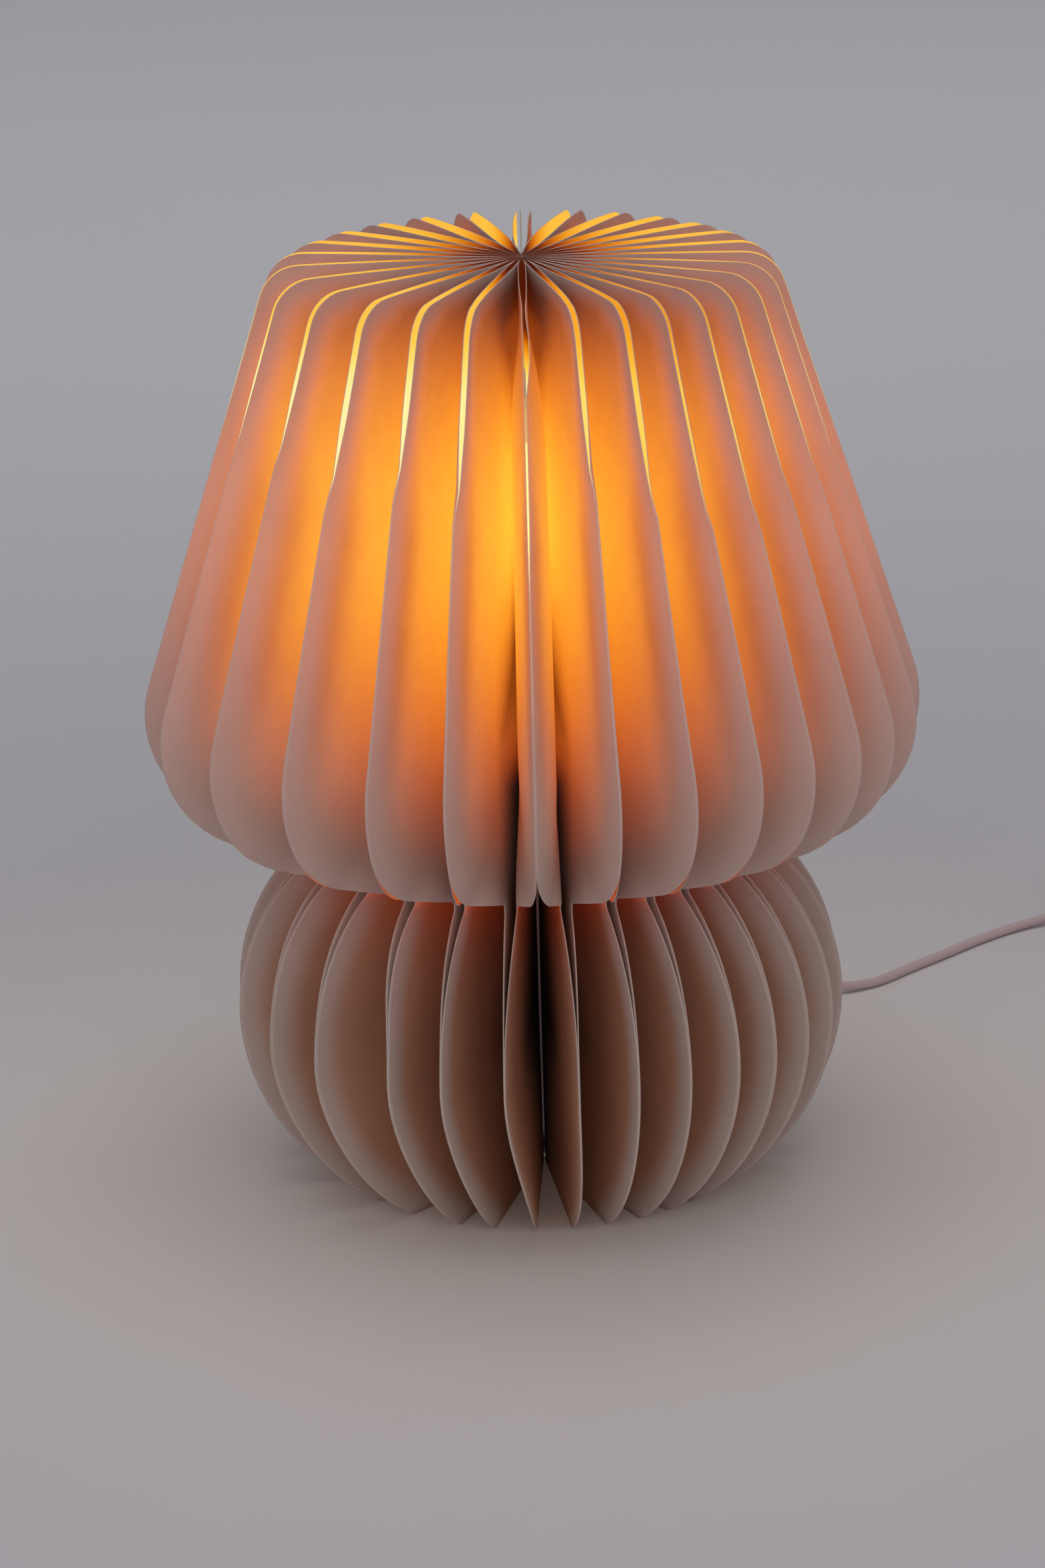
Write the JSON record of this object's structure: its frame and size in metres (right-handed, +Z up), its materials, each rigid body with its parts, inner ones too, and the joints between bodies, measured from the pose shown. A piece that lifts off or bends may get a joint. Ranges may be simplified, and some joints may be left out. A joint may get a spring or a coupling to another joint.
{
  "type": "led table lamp",
  "caption": "Mushroom-shaped folding paper table lamp: creased card leaves round a light stick, closing flat like a book, with a corded rocker switch and plug.",
  "frame": {"origin": "on the table under the lamp's axis", "axes": "+Z up along the axis, -Y towards the seam at the front, +X to the right of the seam"},
  "size_m": [0.3589, 0.3322, 0.28],
  "materials": {
    "leaf_paper": "matt, softly fibrous",
    "magnet_strip": "matt",
    "card": "matt",
    "cap_plastic": "matt",
    "diffuser": "opal",
    "board": "satin solder mask",
    "led": "phosphor",
    "resistor": "satin",
    "wire": "satin",
    "rivet": "satin",
    "boot_rubber": "matt",
    "cord_jacket": "satin",
    "tie_fabric": "woven",
    "switch_plastic": "fine texture",
    "rocker_plastic": "satin",
    "steel": "zinc",
    "contact_brass": "bright",
    "plug_plastic": "fine texture",
    "plug_metal": "nickel",
    "tongue_plastic": "gloss"
  },
  "bodies": {
    "rear_pocket": {"leaf_pair_15": "leaf_paper", "carrier_card": "card", "lower_cap": "cap_plastic", "upper_cap": "cap_plastic", "diffuser_tube": "diffuser", "led_board": "board", "led_chips": "led", "board_resistors": "resistor", "core_wires": "wire", "card_rivets": "rivet", "strain_relief": "boot_rubber", "cord_to_switch": "cord_jacket", "cord_to_coil": "cord_jacket", "cord_coil": "cord_jacket", "cord_to_plug": "cord_jacket", "cord_tie": "tie_fabric", "switch_base": "switch_plastic", "switch_cover": "switch_plastic", "switch_pivot": "steel", "switch_contacts": "contact_brass", "switch_screws": "steel", "switch_glands": "boot_rubber", "plug_grip": "plug_plastic", "plug_shell": "plug_metal", "plug_tongue": "tongue_plastic", "plug_contacts": "contact_brass"},
    "pocket_14": {"leaf_pair_14": "leaf_paper"},
    "pocket_13": {"leaf_pair_13": "leaf_paper"},
    "pocket_12": {"leaf_pair_12": "leaf_paper"},
    "pocket_11": {"leaf_pair_11": "leaf_paper"},
    "pocket_10": {"leaf_pair_10": "leaf_paper"},
    "pocket_09": {"leaf_pair_09": "leaf_paper"},
    "pocket_08": {"leaf_pair_08": "leaf_paper"},
    "pocket_07": {"leaf_pair_07": "leaf_paper"},
    "pocket_06": {"leaf_pair_06": "leaf_paper"},
    "pocket_05": {"leaf_pair_05": "leaf_paper"},
    "pocket_04": {"leaf_pair_04": "leaf_paper"},
    "pocket_03": {"leaf_pair_03": "leaf_paper"},
    "pocket_02": {"leaf_pair_02": "leaf_paper"},
    "pocket_01": {"leaf_pair_01": "leaf_paper"},
    "pocket_16": {"leaf_pair_16": "leaf_paper"},
    "pocket_17": {"leaf_pair_17": "leaf_paper"},
    "pocket_18": {"leaf_pair_18": "leaf_paper"},
    "pocket_19": {"leaf_pair_19": "leaf_paper"},
    "pocket_20": {"leaf_pair_20": "leaf_paper"},
    "pocket_21": {"leaf_pair_21": "leaf_paper"},
    "pocket_22": {"leaf_pair_22": "leaf_paper"},
    "pocket_23": {"leaf_pair_23": "leaf_paper"},
    "pocket_24": {"leaf_pair_24": "leaf_paper"},
    "pocket_25": {"leaf_pair_25": "leaf_paper"},
    "pocket_26": {"leaf_pair_26": "leaf_paper"},
    "pocket_27": {"leaf_pair_27": "leaf_paper"},
    "cover_right": {"cover_leaf_right": "leaf_paper", "seam_strip_right": "magnet_strip"},
    "cover_left": {"cover_leaf_left": "leaf_paper", "seam_strip_left": "magnet_strip"},
    "rocker": {"switch_rocker": "rocker_plastic"}
  },
  "joints": [
    {"name": "fold_14", "type": "hinge", "parent": "rear_pocket", "child": "pocket_14", "pos_m": [0.00056, 0.00497, 0.14], "axis": [0, 0, 1], "range_deg": [0, 12.86]},
    {"name": "fold_13", "type": "hinge", "parent": "pocket_14", "child": "pocket_13", "pos_m": [0.00165, 0.00472, 0.14], "axis": [0, 0, 1], "range_deg": [0, 12.86]},
    {"name": "fold_12", "type": "hinge", "parent": "pocket_13", "child": "pocket_12", "pos_m": [0.00266, 0.00423, 0.14], "axis": [0, 0, 1], "range_deg": [0, 12.86]},
    {"name": "fold_11", "type": "hinge", "parent": "pocket_12", "child": "pocket_11", "pos_m": [0.00354, 0.00354, 0.14], "axis": [0, 0, 1], "range_deg": [0, 12.86]},
    {"name": "fold_10", "type": "hinge", "parent": "pocket_11", "child": "pocket_10", "pos_m": [0.00423, 0.00266, 0.14], "axis": [0, 0, 1], "range_deg": [0, 12.86]},
    {"name": "fold_09", "type": "hinge", "parent": "pocket_10", "child": "pocket_09", "pos_m": [0.00472, 0.00165, 0.14], "axis": [0, 0, 1], "range_deg": [0, 12.86]},
    {"name": "fold_08", "type": "hinge", "parent": "pocket_09", "child": "pocket_08", "pos_m": [0.00497, 0.00056, 0.14], "axis": [0, 0, 1], "range_deg": [0, 12.86]},
    {"name": "fold_07", "type": "hinge", "parent": "pocket_08", "child": "pocket_07", "pos_m": [0.00497, -0.00056, 0.14], "axis": [0, 0, 1], "range_deg": [0, 12.86]},
    {"name": "fold_06", "type": "hinge", "parent": "pocket_07", "child": "pocket_06", "pos_m": [0.00473, -0.00162, 0.14], "axis": [0, 0, 1], "range_deg": [0, 12.14]},
    {"name": "fold_05", "type": "hinge", "parent": "pocket_06", "child": "pocket_05", "pos_m": [0.00431, -0.00254, 0.14], "axis": [0, 0, 1], "range_deg": [0, 11.02]},
    {"name": "fold_04", "type": "hinge", "parent": "pocket_05", "child": "pocket_04", "pos_m": [0.00376, -0.00329, 0.14], "axis": [0, 0, 1], "range_deg": [0, 10.35]},
    {"name": "fold_03", "type": "hinge", "parent": "pocket_04", "child": "pocket_03", "pos_m": [0.00312, -0.00391, 0.14], "axis": [0, 0, 1], "range_deg": [0, 10.12]},
    {"name": "fold_02", "type": "hinge", "parent": "pocket_03", "child": "pocket_02", "pos_m": [0.00237, -0.0044, 0.14], "axis": [0, 0, 1], "range_deg": [0, 10.35]},
    {"name": "fold_01", "type": "hinge", "parent": "pocket_02", "child": "pocket_01", "pos_m": [0.00152, -0.00476, 0.14], "axis": [0, 0, 1], "range_deg": [0, 11.02]},
    {"name": "fold_00", "type": "hinge", "parent": "pocket_01", "child": "cover_right", "pos_m": [0.00053, -0.00497, 0.14], "axis": [0, 0, 1], "range_deg": [0, 12.14]},
    {"name": "fold_15", "type": "hinge", "parent": "rear_pocket", "child": "pocket_16", "pos_m": [-0.00056, 0.00497, 0.14], "axis": [0, 0, -1], "range_deg": [0, 12.86]},
    {"name": "fold_16", "type": "hinge", "parent": "pocket_16", "child": "pocket_17", "pos_m": [-0.00165, 0.00472, 0.14], "axis": [0, 0, -1], "range_deg": [0, 12.86]},
    {"name": "fold_17", "type": "hinge", "parent": "pocket_17", "child": "pocket_18", "pos_m": [-0.00266, 0.00423, 0.14], "axis": [0, 0, -1], "range_deg": [0, 12.86]},
    {"name": "fold_18", "type": "hinge", "parent": "pocket_18", "child": "pocket_19", "pos_m": [-0.00354, 0.00354, 0.14], "axis": [0, 0, -1], "range_deg": [0, 12.86]},
    {"name": "fold_19", "type": "hinge", "parent": "pocket_19", "child": "pocket_20", "pos_m": [-0.00423, 0.00266, 0.14], "axis": [0, 0, -1], "range_deg": [0, 12.86]},
    {"name": "fold_20", "type": "hinge", "parent": "pocket_20", "child": "pocket_21", "pos_m": [-0.00473, 0.00161, 0.14], "axis": [0, 0, -1], "range_deg": [0, 13.81]},
    {"name": "fold_21", "type": "hinge", "parent": "pocket_21", "child": "pocket_22", "pos_m": [-0.00499, 0.00037, 0.14], "axis": [0, 0, -1], "range_deg": [0, 15.24]},
    {"name": "fold_22", "type": "hinge", "parent": "pocket_22", "child": "pocket_23", "pos_m": [-0.0049, -0.00098, 0.14], "axis": [0, 0, -1], "range_deg": [0, 15.95]},
    {"name": "fold_23", "type": "hinge", "parent": "pocket_23", "child": "pocket_24", "pos_m": [-0.00444, -0.00229, 0.14], "axis": [0, 0, -1], "range_deg": [0, 15.95]},
    {"name": "fold_24", "type": "hinge", "parent": "pocket_24", "child": "pocket_25", "pos_m": [-0.00367, -0.0034, 0.14], "axis": [0, 0, -1], "range_deg": [0, 15.24]},
    {"name": "fold_25", "type": "hinge", "parent": "pocket_25", "child": "pocket_26", "pos_m": [-0.0027, -0.00421, 0.14], "axis": [0, 0, -1], "range_deg": [0, 13.81]},
    {"name": "fold_26", "type": "hinge", "parent": "pocket_26", "child": "pocket_27", "pos_m": [-0.00165, -0.00472, 0.14], "axis": [0, 0, -1], "range_deg": [0, 12.86]},
    {"name": "fold_27", "type": "hinge", "parent": "pocket_27", "child": "cover_left", "pos_m": [-0.00056, -0.00497, 0.14], "axis": [0, 0, -1], "range_deg": [0, 12.86]},
    {"name": "rocker_pivot", "type": "hinge", "parent": "rear_pocket", "child": "rocker", "pos_m": [0.054, 0.1244, 0.0068], "axis": [0.2588, -0.9659, 0], "range_deg": [0, 16]}
  ],
  "couplings": [
    {"joint": "fold_13", "follows": "fold_14", "ratio": 1},
    {"joint": "fold_12", "follows": "fold_14", "ratio": 1},
    {"joint": "fold_11", "follows": "fold_14", "ratio": 1},
    {"joint": "fold_10", "follows": "fold_14", "ratio": 1},
    {"joint": "fold_09", "follows": "fold_14", "ratio": 1},
    {"joint": "fold_08", "follows": "fold_14", "ratio": 1},
    {"joint": "fold_07", "follows": "fold_14", "ratio": 1},
    {"joint": "fold_06", "follows": "fold_14", "ratio": 0.94461},
    {"joint": "fold_05", "follows": "fold_14", "ratio": 0.85714},
    {"joint": "fold_04", "follows": "fold_14", "ratio": 0.80466},
    {"joint": "fold_03", "follows": "fold_14", "ratio": 0.78717},
    {"joint": "fold_02", "follows": "fold_14", "ratio": 0.80466},
    {"joint": "fold_01", "follows": "fold_14", "ratio": 0.85714},
    {"joint": "fold_00", "follows": "fold_14", "ratio": 0.94461},
    {"joint": "fold_15", "follows": "fold_14", "ratio": 1},
    {"joint": "fold_16", "follows": "fold_14", "ratio": 1},
    {"joint": "fold_17", "follows": "fold_14", "ratio": 1},
    {"joint": "fold_18", "follows": "fold_14", "ratio": 1},
    {"joint": "fold_19", "follows": "fold_14", "ratio": 1},
    {"joint": "fold_20", "follows": "fold_14", "ratio": 1.0741},
    {"joint": "fold_21", "follows": "fold_14", "ratio": 1.1852},
    {"joint": "fold_22", "follows": "fold_14", "ratio": 1.2407},
    {"joint": "fold_23", "follows": "fold_14", "ratio": 1.2407},
    {"joint": "fold_24", "follows": "fold_14", "ratio": 1.1852},
    {"joint": "fold_25", "follows": "fold_14", "ratio": 1.0741},
    {"joint": "fold_26", "follows": "fold_14", "ratio": 1},
    {"joint": "fold_27", "follows": "fold_14", "ratio": 1}
  ]
}
